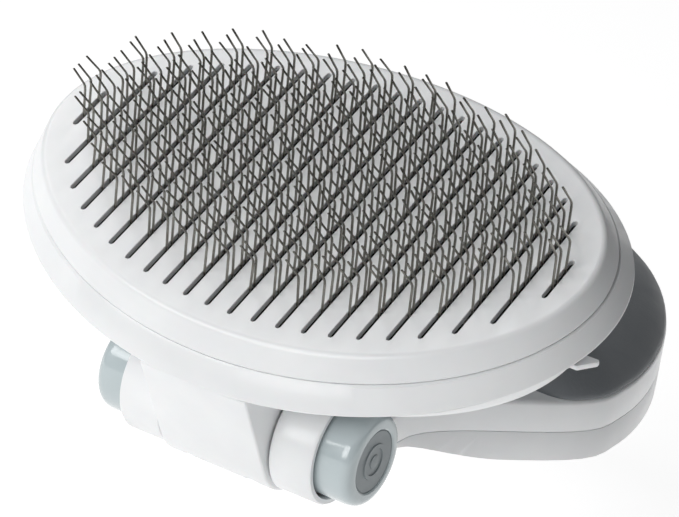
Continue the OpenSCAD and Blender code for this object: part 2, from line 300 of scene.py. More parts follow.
@dataclass(frozen=True)
class WorkedSteel:
    """Drawn, ground or plated steel with streaks along one axis and faint tarnish."""

    name: str
    colour: Section
    tarnish: Section
    roughness: Point2
    stretch: Section
    turn: Section = (0, 0, 0)
    depth: float = 0.004

    def build(self) -> bpy.types.Material:
        """Makes the material.

        Returns:
            The finished material.
        """
        desk = NodeDesk(self.name)
        streaks = desk.noise(0.25, 3, desk.stretched(self.stretch, self.turn))
        desk.feed(
            Base_Color=desk.mix(desk.remap(desk.noise(3.0, 4), 0.35, 0.7, (0, 1)), self.colour, self.tarnish),
            Roughness=desk.remap(streaks, 0.3, 0.7, self.roughness),
        )
        desk.fix(Metallic=1.0)
        desk.bump([(streaks, self.depth)])
        return desk.material


@dataclass(frozen=True)
class StudioFloor:
    """Plain pale sweep, lit from within so that shadows stay faint, and clear when seen from below."""

    name: str = "studio_paper"
    glow: float = 0.88

    def build(self) -> bpy.types.Material:
        """Makes the material.

        Returns:
            The finished material.
        """
        desk = NodeDesk(self.name)
        desk.feed(Base_Color=desk.mix(desk.noise(60.0, 2), (0.25, 0.25, 0.25), (0.27, 0.27, 0.27)))
        desk.fix(Roughness=0.9, Specular_IOR_Level=0.1, Emission_Strength=self.glow)
        desk.shader.inputs["Emission Color"].default_value = (1, 1, 1, 1)
        sides = desk.nodes.new("ShaderNodeMixShader")
        desk.links.new(desk.nodes.new("ShaderNodeNewGeometry").outputs["Backfacing"], sides.inputs[0])
        desk.links.new(desk.shader.outputs["BSDF"], sides.inputs[1])
        desk.links.new(desk.nodes.new("ShaderNodeBsdfTransparent").outputs["BSDF"], sides.inputs[2])
        desk.links.new(sides.outputs["Shader"], desk.nodes["Material Output"].inputs["Surface"])
        return desk.material


class Finish(Enum):
    """The finishes of the brush, each with the record's slot and its recipe."""

    SHELL = ("body_plastic", MouldedPlastic(
        "white_shell", (0.80, 0.81, 0.815), (0.76, 0.77, 0.78), (0.30, 0.42), 0.22, 0.004, 0.015, 0.15, 0.04))
    CAP = ("button_plastic", MouldedPlastic(
        "blue_grey_cap", (0.47, 0.53, 0.545), (0.44, 0.50, 0.515), (0.12, 0.2), 0.3, 0.001, 0.01, 0.5))
    BADGE = ("badge_plastic", MouldedPlastic(
        "badge_grey", (0.215, 0.243, 0.254), (0.195, 0.223, 0.234), (0.34, 0.46), 0.18, 0.006))
    GRIP = ("grip_rubber", SoftGrip("soft_grip", (0.2, 0.212, 0.225), (0.235, 0.247, 0.26)))
    # Near-black colour is painted shade: it stands in for the deep shade seen down the slots of the face.
    INNER = ("inner_plastic", MouldedPlastic(
        "carrier_painted_shade", (0.022, 0.021, 0.018), (0.03, 0.029, 0.025), (0.6, 0.75), 0.3, 0.01))
    WIRE = ("pin_steel", WorkedSteel(
        "pin_wire", (0.27, 0.265, 0.24), (0.17, 0.16, 0.14), (0.2, 0.34), (1, 1, 0.12), (-24, 0, 0), 0.002))
    STEEL = ("steel", WorkedSteel(
        "ground_steel", (0.58, 0.58, 0.58), (0.45, 0.44, 0.43), (0.2, 0.34), (0.1, 1, 1)))
    SCREW = ("screw_steel", WorkedSteel(
        "zinc_screw", (0.5, 0.5, 0.51), (0.36, 0.35, 0.33), (0.24, 0.4), (1, 1, 1)))

    @property
    def slot(self) -> str:
        """Material slot of the record."""
        return self.value[0]

    def material(self) -> bpy.types.Material:
        """The finish's material, made once."""
        recipe = self.value[1]
        return bpy.data.materials.get(recipe.name) or recipe.build()


class Bench:
    """Modelling steps that the pieces share, done with Blender's own operators."""

    @staticmethod
    def clear() -> None:
        """Leaves edit mode and deselects everything."""
        if bpy.context.object and bpy.context.object.mode != "OBJECT":
            bpy.ops.object.mode_set(mode="OBJECT")
        bpy.ops.object.select_all(action="DESELECT")

    @staticmethod
    def hold(piece: Piece) -> None:
        """Makes a piece the only selected and active one.

        Args:
            piece: The piece to hold.
        """
        Bench.clear()
        piece.select_set(True)
        bpy.context.view_layer.objects.active = piece

    @staticmethod
    def open(piece: Piece) -> None:
        """Opens a piece in edit mode with all of it selected.

        Args:
            piece: The piece to open.
        """
        Bench.hold(piece)
        bpy.ops.object.mode_set(mode="EDIT")
        bpy.ops.mesh.select_all(action="SELECT")

    @staticmethod
    def close() -> None:
        """Goes back to object mode."""
        bpy.ops.object.mode_set(mode="OBJECT")

    @staticmethod
    def pick_open_edges() -> None:
        """Selects the open edges of the piece in edit mode."""
        bpy.ops.mesh.select_all(action="DESELECT")
        bpy.ops.mesh.select_mode(type="EDGE")
        bpy.ops.mesh.select_non_manifold()

    @staticmethod
    def disc(name: str, sides: int, at: Section = (0, 0, 0), filled: bool = True) -> Piece:
        """Adds a unit disc or ring.

        Args:
            name: Name of the new object.
            sides: Number of corners.
            at: Its middle.
            filled: Whether it has a face.

        Returns:
            The new object.
        """
        Bench.clear()
        bpy.ops.mesh.primitive_circle_add(
            vertices=sides, radius=1, fill_type="NGON" if filled else "NOTHING", location=(0, 0, 0))
        piece = bpy.context.object
        piece.name = name
        piece.data.transform(shift(*at))
        return piece

    @staticmethod
    def stack(name: str, sections: list[Section], sides: int = 96, looped: bool = False) -> Piece:
        """Extrudes an ellipse through sections given as half width, half depth and height.

        Args:
            name: Name of the new object.
            sections: The sections in order.
            sides: Number of sides of the ellipse.
            looped: Joins the last section to the first, for a hollow ring.

        Returns:
            The new object.
        """
        piece = Bench.disc(name, sides, filled=not looped)
        wide, deep, height = sections[0]
        piece.data.transform(shift(0, 0, height) @ Matrix.Diagonal((wide, deep, 1, 1)))
        Bench.open(piece)
        for a, b, z in sections[1:]:
            bpy.ops.mesh.extrude_region_move(TRANSFORM_OT_translate={"value": (0, 0, z - height)})
            bpy.ops.transform.resize(value=(a / wide, b / deep, 1), center_override=(0, 0, z))
            wide, deep, height = a, b, z
        if looped:
            Bench.pick_open_edges()
            bpy.ops.mesh.bridge_edge_loops()
        Bench.close()
        Bench.face_out(piece)
        return piece

    @staticmethod
    def turned(name: str, profile: list[Point2], sides: int = 64, looped: bool = False) -> Piece:
        """Makes a round piece from the radius and height of each ring."""
        return Bench.stack(name, [(r, r, z) for r, z in profile], sides, looped)

    @staticmethod
    def prism(name: str, outline: list[Point2], low: float, high: float) -> Piece:
        """Extrudes a free outline upwards.

        Args:
            name: Name of the new object.
            outline: Corners in order.
            low: Height of the bottom.
            high: Height of the top.

        Returns:
            The new object.
        """
        piece = Bench.disc(name, len(outline))
        for vertex, (x, y) in zip(piece.data.vertices, outline):
            vertex.co = (x, y, low)
        Bench.open(piece)
        bpy.ops.mesh.extrude_region_move(TRANSFORM_OT_translate={"value": (0, 0, high - low)})
        Bench.close()
        Bench.face_out(piece)
        return piece

    @staticmethod
    def block(name: str, low: Section, high: Section) -> Piece:
        """Adds a box between its lowest and its highest corner."""
        outline = [(low[0], low[1]), (high[0], low[1]), (high[0], high[1]), (low[0], high[1])]
        return Bench.prism(name, outline, low[2], high[2])

    @staticmethod
    def face_out(piece: Piece, merge: float = 1e-4) -> None:
        """Merges doubles and turns all faces outwards.

        Args:
            piece: The piece to mend.
            merge: Distance within which corners merge.
        """
        Bench.open(piece)
        bpy.ops.mesh.remove_doubles(threshold=merge)
        bpy.ops.mesh.normals_make_consistent(inside=False)
        Bench.close()

    @staticmethod
    def soften(
        piece: Piece, chosen: Callable[[Vector, Vector], bool], width: float, segments: int = 3
    ) -> None:
        """Bevels the edges that a test picks by their ends.

        Args:
            piece: The piece to work on.
            chosen: True for the two ends of an edge to bevel.
            width: Width of the bevel.
            segments: Number of facets.
        """
        Bench.hold(piece)
        bpy.ops.object.mode_set(mode="EDIT")
        bpy.ops.mesh.select_mode(type="EDGE")
        bpy.ops.mesh.select_all(action="DESELECT")
        Bench.close()
        points = [v.co.copy() for v in piece.data.vertices]
        for edge in piece.data.edges:
            first, second = (points[i] for i in edge.vertices)
            edge.select = chosen(first, second)
        bpy.ops.object.mode_set(mode="EDIT")
        bpy.ops.mesh.bevel(
            offset=width, offset_type="OFFSET", segments=segments, affect="EDGES", clamp_overlap=True)
        Bench.close()

    @staticmethod
    def round_off(piece: Piece, width: float, segments: int = 3, angle: float = 40) -> None:
        """Rounds every edge sharper than an angle.

        Args:
            piece: The piece to work on.
            width: Width of the bevel.
            segments: Number of facets.
            angle: Sharpest edge that stays, in degrees.
        """
        Bench.hold(piece)
        rounding = piece.modifiers.new("rounding", "BEVEL")
        rounding.width = width
        rounding.segments = segments
        rounding.limit_method = "ANGLE"
        rounding.angle_limit = math.radians(angle)
        rounding.use_clamp_overlap = True
        bpy.ops.object.modifier_apply(modifier=rounding.name)

    @staticmethod
    def combine(piece: Piece, tool: Piece, operation: str = "DIFFERENCE") -> None:
        """Cuts a tool out of a piece, or adds it, and removes the tool.

        Args:
            piece: The piece to work on.
            tool: The tool.
            operation: DIFFERENCE or UNION.
        """
        Bench.hold(piece)
        step = piece.modifiers.new("combine", "BOOLEAN")
        step.operation = operation
        step.solver = "EXACT"
        step.object = tool
        bpy.ops.object.modifier_apply(modifier=step.name)
        bpy.data.objects.remove(tool)

    @staticmethod
    def drill(piece: Piece, radius: float, seat: float, places: list[Point2]) -> None:
        """Sinks round recesses into a piece from far below.

        Args:
            piece: The piece to work on.
            radius: Radius of the recesses.
            seat: Height that they reach up to.
            places: Where they are.
        """
        for x, y in places:
            drill = Bench.turned("drill", [(radius, -60), (radius, seat)], 40)
            drill.data.transform(shift(x, y, 0))
            Bench.combine(piece, drill)

    @staticmethod
    def join(pieces: list[Piece], name: str) -> Piece:
        """Joins objects into one.

        Args:
            pieces: The objects.
            name: Name of the result.

        Returns:
            The joined object.
        """
        Bench.hold(pieces[0])
        for piece in pieces:
            piece.select_set(True)
        bpy.ops.object.join()
        pieces[0].name = name
        return pieces[0]

    @staticmethod
    def copies(model: Piece, name: str, places: list[Point2]) -> list[Piece]:
        """Copies a model to each place, each copy with its own mesh, and removes the model.

        Args:
            model: The object to copy.
            name: Stem of the copies' names.
            places: Offsets of the copies.

        Returns:
            The copies.
        """
        made = []
        for number, at in enumerate(places, 1):
            copy = bpy.data.objects.new(f"{name}_{number}", model.data.copy())
            copy.data.transform(shift(*at, 0))
            bpy.context.scene.collection.objects.link(copy)
            made.append(copy)
        bpy.data.objects.remove(model)
        return made

    @staticmethod
    def coil(name: str, radius: float, wire: float, low: float, high: float, turns: int) -> Piece:
        """Winds a compression spring along Z.

        Args:
            name: Name of the new object.
            radius: Mean radius of the coil.
            wire: Radius of the wire.
            low: Lowest point.
            high: Highest point.
            turns: Number of turns.

        Returns:
            The new object.
        """
        piece = Bench.disc(name, 8, filled=False)
        piece.data.transform(
            shift(radius, 0, low + wire)
            @ turn_about("X", 90)
            @ Matrix.Diagonal((wire, wire, wire, 1))
        )
        Bench.hold(piece)
        winding = piece.modifiers.new("winding", "SCREW")
        winding.angle = math.tau
        winding.iterations = turns
        winding.screw_offset = (high - low - 2 * wire) / turns
        winding.steps = winding.render_steps = 24
        bpy.ops.object.modifier_apply(modifier=winding.name)
        bpy.ops.object.mode_set(mode="EDIT")
        Bench.pick_open_edges()
        bpy.ops.mesh.edge_face_add()
        Bench.close()
        Bench.face_out(piece)
        return piece

    @staticmethod
    def settle(
        piece: Piece, place: Place, body: Body, finish: Finish, *nodes: str, smooth: float = 35
    ) -> Piece:
        """Moves a finished piece to its place, dresses it and ties it to its body.

        Args:
            piece: The piece, modelled in millimetres.
            place: Frame that it was modelled in.
            body: Body that it rides on.
            finish: Its finish.
            nodes: CAD nodes that it stands for.
            smooth: Sharpest angle that is shaded smooth, in degrees.

        Returns:
            The piece.
        """
        piece.data.transform(Matrix.Diagonal((MM, MM, MM, 1)) @ place.value)
        stem = piece.name.split(".")[0]
        piece.name = f"{stem}_piece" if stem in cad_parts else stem
        Bench.hold(piece)
        bpy.ops.object.shade_smooth_by_angle(angle=math.radians(smooth))
        piece.data.name = piece.name
        piece.data.materials.clear()
        piece.data.materials.append(finish.material())
        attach(piece, body.value)
        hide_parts(*nodes)
        LOG.info("%s rides on %s in %s", piece.name, body.value, finish.slot)
        return piece


def along(low: float, high: float, count: int) -> list[float]:
    """Evenly spaced numbers from low to high, with both ends."""
    return [low + (high - low) * i / count for i in range(count + 1)]


def fillet(start: Point2, corner: Point2, end: Point2, count: int = 5) -> list[Point2]:
    """Rounds a corner of a profile.

    Args:
        start: Where the rounding starts.
        corner: The sharp corner.
        end: Where the rounding ends.
        count: Number of facets.

    Returns:
        Points from start to end.
    """
    return [
        tuple((1 - t) ** 2 * a + 2 * t * (1 - t) * b + t * t * c for a, b, c in zip(start, corner, end))
        for t in along(0, 1, count)
    ]


def hull(points: list[Point2]) -> list[Point2]:
    """Convex hull of points in a plane.

    Args:
        points: The points.

    Returns:
        Its corners, anticlockwise.
    """
    ordered = sorted(set(points))

    def side(a: Point2, b: Point2, c: Point2) -> float:
        """Which side of a line a point lies on."""
        return (b[0] - a[0]) * (c[1] - a[1]) - (b[1] - a[1]) * (c[0] - a[0])

    def chain(run: list[Point2]) -> list[Point2]:
        """One half of the hull.

        Args:
            run: The points in order.

        Returns:
            The corners of that half, without the last.
        """
        kept: list[Point2] = []
        for p in run:
            while len(kept) > 1 and side(kept[-2], kept[-1], p) <= 0:
                kept.pop()
            kept.append(p)
        return kept[:-1]

    return chain(ordered) + chain(ordered[::-1])


@dataclass(frozen=True)
class SlotPlan:
    """Where the slots and their pins lie on the face."""

    count: int = 22
    pitch: float = 4.2
    width: float = 0.86
    longest: float = 28.3
    area_half_x: float = 44.7
    shift: float = -0.3

    def x(self, number: int) -> float:
        """Middle of a slot along X."""
        return (number - (self.count - 1) / 2) * self.pitch

    def half(self, number: int) -> float:
        """Half length of a slot."""
        return self.longest * math.sqrt(1 - (self.x(number) / self.area_half_x) ** 2)


@dataclass
class HeadShell:
    """Face plate, rim and back cover, with the long hollow curve of the face."""

    slots: SlotPlan = field(default_factory=SlotPlan)
    half_x: float = 50.4
    half_y: float = 32.2
    flare_x: float = 0.557
    flare_y: float = 0.689
    curve: float = 525
    plate: float = 0.9
    seam: float = -3.9
    lip: float = -8.2
    wall_t: float = 2
    cover_flat: float = -13.5
    cover_flare: Point2 = (0.66, 1.15)
    screw_seat: float = -11.9
    sides: int = 192

    def lift(self, x: float) -> float:
        """Rise of the hollow face at x."""
        return self.curve - math.sqrt(self.curve**2 - x * x)

    def wall(self, z: float, inset: float = 0) -> Section:
        """Section of the side wall at a height, drawn in by inset."""
        return (self.half_x - self.flare_x * z - inset, self.half_y - self.flare_y * z - inset, z)

    def bend(self, piece: Piece) -> None:
        """Lifts a piece onto the hollow curve, keeping its outside on the sloping wall.

        Args:
            piece: The piece to bend.
        """
        for vertex in piece.data.vertices:
            x, y, z = vertex.co
            rise = self.lift(x)
            out = math.hypot(x / self.half_x, y / self.half_y)
            hug = min(1.0, max(0.0, (out - 0.9) / 0.07))
            vertex.co = (
                x * (1 - hug * self.flare_x * rise / self.half_x),
                y * (1 - hug * self.flare_y * rise / self.half_y),
                z + rise,
            )

    def slice_up(self, piece: Piece) -> None:
        """Cuts a piece across at every land, so that it can follow the curve.

        Args:
            piece: The piece to cut.
        """
        Bench.hold(piece)
        bpy.ops.object.mode_set(mode="EDIT")
        for number in range(-1, self.slots.count):
            bpy.ops.mesh.select_all(action="SELECT")
            x = self.slots.x(number) + self.slots.pitch / 2
            bpy.ops.mesh.bisect(plane_co=(x, 0, 0), plane_no=(1, 0, 0), threshold=1e-5)
        Bench.close()

    def slot_tool(self) -> Piece:
        """Makes the comb of blades that cuts the slots.

        Returns:
            The comb.
        """
        blades = []
        for number in range(self.slots.count):
            x, half = self.slots.x(number), self.slots.half(number)
            edge, rounding = self.slots.width / 2, self.slots.width * 0.45
            ends = [self.slots.shift - half, self.slots.shift + half]
            outline = [
                (x - edge, ends[1] - rounding), (x - edge, ends[0] + rounding), (x - edge * 0.45, ends[0]),
                (x + edge * 0.45, ends[0]), (x + edge, ends[0] + rounding), (x + edge, ends[1] - rounding),
                (x + edge * 0.45, ends[1]), (x - edge * 0.45, ends[1]),
            ]
            blades.append(Bench.prism("blade", outline, -3, 1))
        return Bench.join(blades, "slot_comb")

    def build_face(self) -> None:
        """Models the slotted face plate."""
        edge = fillet((0.44, -0.73), (0, 0), (-0.85, 0))
        sections = [self.wall(-self.plate, self.wall_t), self.wall(self.seam, self.wall_t)]
        sections += [self.wall(self.seam, 0.22), self.wall(self.seam + 0.25)]
        sections += [(self.half_x + out, self.half_y + out * 1.1, z) for out, z in edge]
        face = Bench.stack("face_plate", sections, self.sides)
        Bench.combine(face, self.slot_tool())

        def slot_edge(a: Vector, b: Vector) -> bool:
            """True for an edge round the mouth of a slot."""
            inside = all(math.hypot(p.x / (self.half_x - 2), p.y / (self.half_y - 2)) < 1 for p in (a, b))
            return inside and abs(a.z) < 1e-4 and abs(b.z) < 1e-4

        Bench.soften(face, slot_edge, 0.1, 1)
        self.slice_up(face)
        self.bend(face)
        Bench.settle(face, Place.HEAD, Body.HEAD, Finish.SHELL, "face_plate", smooth=28)

    def build_rim(self) -> None:
        """Models the rim below the parting line, with its fine lower lip."""
        edge = [(0.0, self.lip + 0.75), (0.02, self.lip + 0.3), (-0.1, self.lip + 0.08), (-0.35, self.lip)]
        sections = [self.wall(self.seam - 0.14, self.wall_t), self.wall(self.seam - 0.14, 0.3)]
        sections += [self.wall(self.seam - 0.4)]
        sections += [self.wall(z, -out) for out, z in edge]
        sections += [self.wall(self.lip, self.wall_t)]
        rim = Bench.stack("rim_shell", sections, self.sides, looped=True)
        self.bend(rim)
        Bench.settle(rim, Place.HEAD, Body.HEAD, Finish.SHELL, "rim_shell", smooth=28)

    def widen(self, cover: Piece) -> None:
        """Lifts the upper edge of the back cover onto the hollow curve, along its own steeper slope.

        Args:
            cover: The back cover.
        """
        for vertex in cover.data.vertices:
            x, y, z = vertex.co
            share = min(1.0, max(0.0, (z - self.cover_flat) / (self.lip - self.cover_flat)))
            rise = self.lift(x) * share
            vertex.co = (
                x * (1 + self.cover_flare[0] * rise / self.half_x),
                y * (1 + self.cover_flare[1] * rise / self.half_y),
                z + rise,
            )

    def build_cover(self) -> None:
        """Models the back cover with its openings for the pad, the latch tab and the screws."""
        inside = [(45.4, 28.8, -14.1), (46.7, 31.1, -12), (49, 35.3, self.lip)]
        shoulder = [(50.4, 36.7, self.lip), (48.4, 33.1, -11.4)]
        edge = [
            (46.9 - 1.7 * t, 30.6 - 2 * t, -13.6 - 1.7 * math.sin(t * math.pi / 2)) for t in along(0, 1, 6)]
        floor = [(43.6, 27, -15.3)]
        cover = Bench.stack("back_cover", inside + shoulder + edge + floor, self.sides)
        hole_a, hole_b = PAD[0] + PAD_GAP, PAD[1] + PAD_GAP
        pad_hole = Bench.stack("pad_hole", [(hole_a, hole_b, -20), (hole_a, hole_b, -9)], 96)
        pad_hole.data.transform(shift(0, PAD[2], 0))
        Bench.combine(cover, pad_hole)
        self.widen(cover)
        Bench.combine(cover, Bench.block("tab_hole", (44, -4.5, -12.5), (60, 4.3, -10.9)))
        Bench.combine(cover, Bench.block("riser_notch", (44, -4.3, -12.3), (48.7, 4.3, -8)))
        Bench.drill(cover, 1.7, self.screw_seat, COVER_SCREWS)
        Bench.settle(cover, Place.HEAD, Body.HEAD, Finish.SHELL, "back_cover")


@dataclass
class PinBed:
    """Carrier plate, rows of cranked wire pins, and the pad that pushes them."""

    shell: HeadShell
    wire_r: float = 0.21
    pair_pitch: float = 3.8
    pair_gap: float = 1.7
    knee: Point2 = (1.6, 4.8)
    tip: Point2 = (-0.75, 10.15)
    variants: int = 7
    top: float = -1.9
    thick: float = 1.5
    margin: float = 2.4
    first: float = 5.8
    first_share: float = 0.29
    pad_low: float = -15.3

    def model_pin(self, variant: int) -> Piece:
        """Models one pin: round wire, bent softly at the knee and blunt at the tip.

        Args:
            variant: Number of the variant, as hand-bent wire is never quite even.

        Returns:
            The pin with its root at the origin.
        """
        swing = math.sin(variant * 2.4)
        sway = math.cos(variant * 1.7)
        knee = Vector(self.knee) + Vector((0.22 * swing, 0.16 * sway))
        tip = Vector(self.tip) + Vector((0.34 * sway, -0.05 - 0.05 * swing))
        before, after = knee * 0.86, knee + (tip - knee) * 0.14
        middle = (before + knee * 2 + after) / 4
        route = [
            Vector((0, self.top - self.thick + 0.4)), Vector((0, -0.2)), before * 0.06, before, middle, after,
            tip - (tip - knee) * 0.02, tip,
        ]
        pin = Bench.disc("pin", 6)
        pin.data.transform(shift(0, 0, route[0].y) @ Matrix.Diagonal((self.wire_r, self.wire_r, 1, 1)))
        Bench.open(pin)
        for start, end in zip(route, route[1:]):
            step = (0, end.x - start.x, end.y - start.y)
            bpy.ops.mesh.extrude_region_move(TRANSFORM_OT_translate={"value": step})
        bpy.ops.transform.resize(value=(0.55, 0.55, 1), center_override=(0, tip.x, tip.y))
        Bench.close()
        Bench.face_out(pin)
        return pin

    def roots(self, number: int) -> list[float]:
        """Positions of the pins of one row along their slot.

        Args:
            number: Number of the slot.

        Returns:
            Positions along Y.
        """
        slots = self.shell.slots
        half = slots.half(number)
        at = slots.shift - half + min(self.first, self.first_share * half * 2)
        last = slots.shift + half - self.margin
        found = []
        while at <= last:
            found += [y for y in (at, at + self.pair_gap) if y <= last]
            at += self.pair_pitch
        return found

    def build_pins(self) -> None:
        """Copies the pins along every row and joins each row."""
        models = [self.model_pin(variant) for variant in range(self.variants)]
        for number in range(self.shell.slots.count):
            x = self.shell.slots.x(number)
            pins = []
            for order, y in enumerate(self.roots(number)):
                turn = number * 5 + order * 3
                mesh = models[turn % self.variants].data.copy()
                nudge = 0.3 * math.sin(turn * 1.3 + number)
                sway = turn_about("Y", 1.2 * math.sin(turn * 2.1))
                mesh.transform(shift(x, y + nudge, self.shell.lift(x)) @ sway)
                pin = bpy.data.objects.new("row_pin", mesh)
                bpy.context.scene.collection.objects.link(pin)
                pins.append(pin)
            name = f"pin_row_{number + 1:02d}"
            Bench.settle(Bench.join(pins, name), Place.HEAD, Body.PIN_BED, Finish.WIRE, "pins", smooth=60)
        for model in models:
            bpy.data.objects.remove(model)

    def build_carrier(self) -> None:
        """Models the plate that holds the pins."""
        low, high = self.top - self.thick, self.top
        carrier = Bench.stack("pin_carrier", [
            (44.7, 28.3, low), (45, 28.6, low + 0.3), (45, 28.6, high - 0.3), (44.7, 28.3, high)], 128)
        # Its near-black finish paints the deep shade seen through the slots.
        Bench.settle(carrier, Place.HEAD, Body.PIN_BED, Finish.INNER, "pin_carrier")

    def build_pad(self) -> None:
        """Models the thumb pad on the back, dished and rimmed."""
        a, b, y = PAD
        low = self.pad_low
        pad = Bench.stack("push_pad", [
            (a - inset, b - inset, low + rise) for inset, rise in (
                (4.2, 0.9), (2.6, 0.62), (1.7, 0.12), (0.9, 0), (0.25, 0.25), (0, 0.9))
        ] + [(a, b, self.top - self.thick)])
        pad.data.transform(shift(0, y, 0))
        Bench.settle(pad, Place.HEAD, Body.PIN_BED, Finish.CAP, "push_pad")


@dataclass
class Fasteners:
    """Screws with cross recesses, and the plain guide posts."""

    seat_cover: float = -11.9
    seat_saddle: float = -16
    seat_handle: float = 1.3

    def model_screw(self, head_r: float, shank_r: float, seat: float, end: float, head_t: float) -> Piece:
        """Models a pan-head screw that points up along Z, with its head below the seat.

        Args:
            head_r: Radius of the head.
            shank_r: Radius of the shank.
            seat: Height of the underside of the head.
            end: Height of the point.
            head_t: Thickness of the head.

        Returns:
            The screw.
        """
        low = seat - head_t
        profile = [(head_r * 0.62, low), (head_r * 0.86, low + head_t * 0.12), (head_r, low + head_t * 0.5)]
        profile += [(head_r, seat), (shank_r, seat), (shank_r, end - shank_r), (shank_r * 0.3, end)]
        screw = Bench.turned("screw", profile, 32)
        for turn in (0, 90):
            blade = Bench.block("blade", (-head_r * 0.58, -head_r * 0.13, low - 1), (
                head_r * 0.58, head_r * 0.13, low + head_t * 0.45))
            blade.data.transform(turn_about("Z", turn))
            Bench.combine(screw, blade)
        return screw

    def place(
        self, model: Piece, name: str, at: list[Point2], where: Place, body: Body, node: str
    ) -> None:
        """Copies a screw or post to its places.

        Args:
            model: The model to copy.
            name: Stem of the copies' names.
            at: The places.
            where: Frame of the places.
            body: Body that they ride on.
            node: CAD node that they stand for.
        """
        finish = Finish.STEEL if "post" in name else Finish.SCREW
        for piece in Bench.copies(model, name, at):
            Bench.settle(piece, where, body, finish, node)

    def build(self) -> None:
        """Models every screw and guide post."""
        for stem, size, places, where, body in (
            ("cover_screw", (1.6, 1.0, self.seat_cover, -4.5, 1.5), COVER_SCREWS, Place.HEAD, Body.HEAD),
            ("saddle_screw", (1.6, 1.0, self.seat_saddle, -5, 1.5), SADDLE_SCREWS, Place.HEAD, Body.HEAD),
            ("handle_screw", (2.2, 1.2, self.seat_handle, 9.5, 1.1), HANDLE_SCREWS, Place.HANDLE,
             Body.HANDLE),
        ):
            self.place(self.model_screw(*size), stem, places, where, body, f"{stem}s")
        pad_screw = Bench.turned("pad_screw", [(0.5, -10.5), (1, -9.8), (1, -2.1), (0.7, -1.92)], 24)
        self.place(pad_screw, "pad_screw", PAD_SCREWS, Place.HEAD, Body.PIN_BED, "pad_screws")
        post = Bench.turned("guide_post", [(1, -14.1), (1.2, -13.8), (1.2, -1.2), (0.9, -0.9)], 24)
        self.place(post, "guide_post", GUIDE_POSTS, Place.HEAD, Body.HEAD, "guide_posts")


@dataclass
class Latch:
    """Slide that reaches out under the lip, and its two springs."""

    low: float = -12.2
    thick: float = 1
    spring_x: Point2 = (46.5, 49.3)
    spring_z: float = -5.8

    def build(self) -> None:
        """Models the slide with its finger tab, and the springs behind it."""
        outline = [(45.3, -4.2), (48.9, -4.2), (51.3, -2), (51.3, -1.4), (45.3, -1.4)]
        tab = Bench.prism("release_tab", outline, self.low, self.low + self.thick)
        Bench.combine(tab, Bench.block("riser", (45.3, -4, self.low), (46.5, 4, -3.1)), "UNION")
        Bench.round_off(tab, 0.18, 2)
        Bench.settle(tab, Place.HEAD, Body.LATCH, Finish.SHELL, "release_tab")
        for number, y in enumerate((-3, 3), 1):
            spring = Bench.coil(f"latch_spring_{number}", 0.8, 0.2, *self.spring_x, 4)
            spring.data.transform(shift(0, y, self.spring_z) @ turn_about("Y", 90))
            Bench.settle(spring, Place.HEAD, Body.HEAD, Finish.STEEL, "latch_springs", smooth=60)
            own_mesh(spring)


@dataclass
class Hinge:
    """Saddle under the head, axle, and the push buttons with their springs, plungers and badges."""

    saddle_r: float = 10
    saddle_half: float = 10
    button_r: float = 7.8
    button_in: float = 16.6
    button_end: float = 24.2
    badge_r: float = 5.25
    screw_seat: float = -16

    def build_saddle(self) -> None:
        """Models the saddle block that hangs from the rim to the barrel."""
        circle = [
            (-AXIS_BACK + self.saddle_r * math.cos(a), -AXIS_BACK + self.saddle_r * math.sin(a))
            for a in along(0, math.tau, 72)[:-1]
        ]
        outline = hull([*circle, (-37.2, -8.3), (-30.2, -8.3), (-12, -14.5), (-12, -16.2)])
        saddle = Bench.prism("hinge_saddle", outline, -self.saddle_half, self.saddle_half)
        saddle.data.transform(UPRIGHT_TO_X)
        Bench.round_off(saddle, 0.45, 3)
        hollow = [(45.5, 29, -14.4), (46.9, 31.3, -11.8), (49.6, 35.9, -8)]
        Bench.combine(saddle, Bench.stack("hollow", hollow, 96))
        Bench.drill(saddle, 1.75, self.screw_seat, SADDLE_SCREWS)
        Bench.settle(saddle, Place.HEAD, Body.HEAD, Finish.SHELL, "hinge_saddle")

    def build_axle(self) -> None:
        """Models the hollow axle."""
        profile = [(2.6, -13.1), (3.8, -13.1), (4, -12.9), (4, 12.9), (3.8, 13.1), (2.6, 13.1)]
        axle = Bench.turned("hinge_axle", profile, 64, looped=True)
        Bench.settle(axle, Place.RIGHT_BARREL, Body.HEAD, Finish.STEEL, "hinge_axle")

    def build_side(self, side: str, place: Place, body: Body) -> None:
        """Models one button with its badge, plunger and spring.

        Args:
            side: Prefix of the pieces' names.
            place: Frame with Z pointing outwards along the hinge.
            body: Body of the button.
        """
        r, start, end, badge_r = self.button_r, self.button_in, self.button_end, self.badge_r
        profile = [(r - 1.3, end - 1.4), (r - 1.3, start), (r - 0.15, start), (r, start + 0.2)]
        profile += fillet((r, end - 2.2), (r, end), (r - 1.7, end), 8)
        profile += [(badge_r + 0.3, end), (badge_r + 0.06, end - 0.18), (badge_r + 0.06, end - 0.5)]
        button = Bench.turned(f"{side}_button", profile, 96)
        Bench.settle(button, place, body, Finish.CAP, f"{side}_button")
        top = end - 0.2
        badge = Bench.turned(f"{side}_badge", [
            (badge_r, end - 0.5), (badge_r, top - 0.12), (badge_r - 0.12, top), (3.05, top),
            (2.97, end), (2.33, end), (2.25, top), (1.2, top), (1.1, end - 0.05), (0.9, end - 0.02)], 96)
        Bench.settle(badge, place, body, Finish.BADGE, f"{side}_badge")
        plunger = Bench.turned(f"{side}_plunger", [(2.1, 6.3), (2.5, 6.7), (2.5, end - 1.4)], 48)
        Bench.settle(plunger, place, body, Finish.STEEL, f"{side}_plunger")
        spring = Bench.coil(f"{side}_button_spring", 4.1, 0.42, 13.3, end - 1.5, 5)
        Bench.settle(spring, place, Body.HANDLE, Finish.STEEL, f"{side}_button_spring", smooth=60)
        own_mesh(spring)

    def build(self) -> None:
        """Models the whole barrel."""
        self.build_saddle()
        self.build_axle()
        self.build_side("right", Place.RIGHT_BARREL, Body.RIGHT_PUSH)
        self.build_side("left", Place.LEFT_BARREL, Body.LEFT_PUSH)


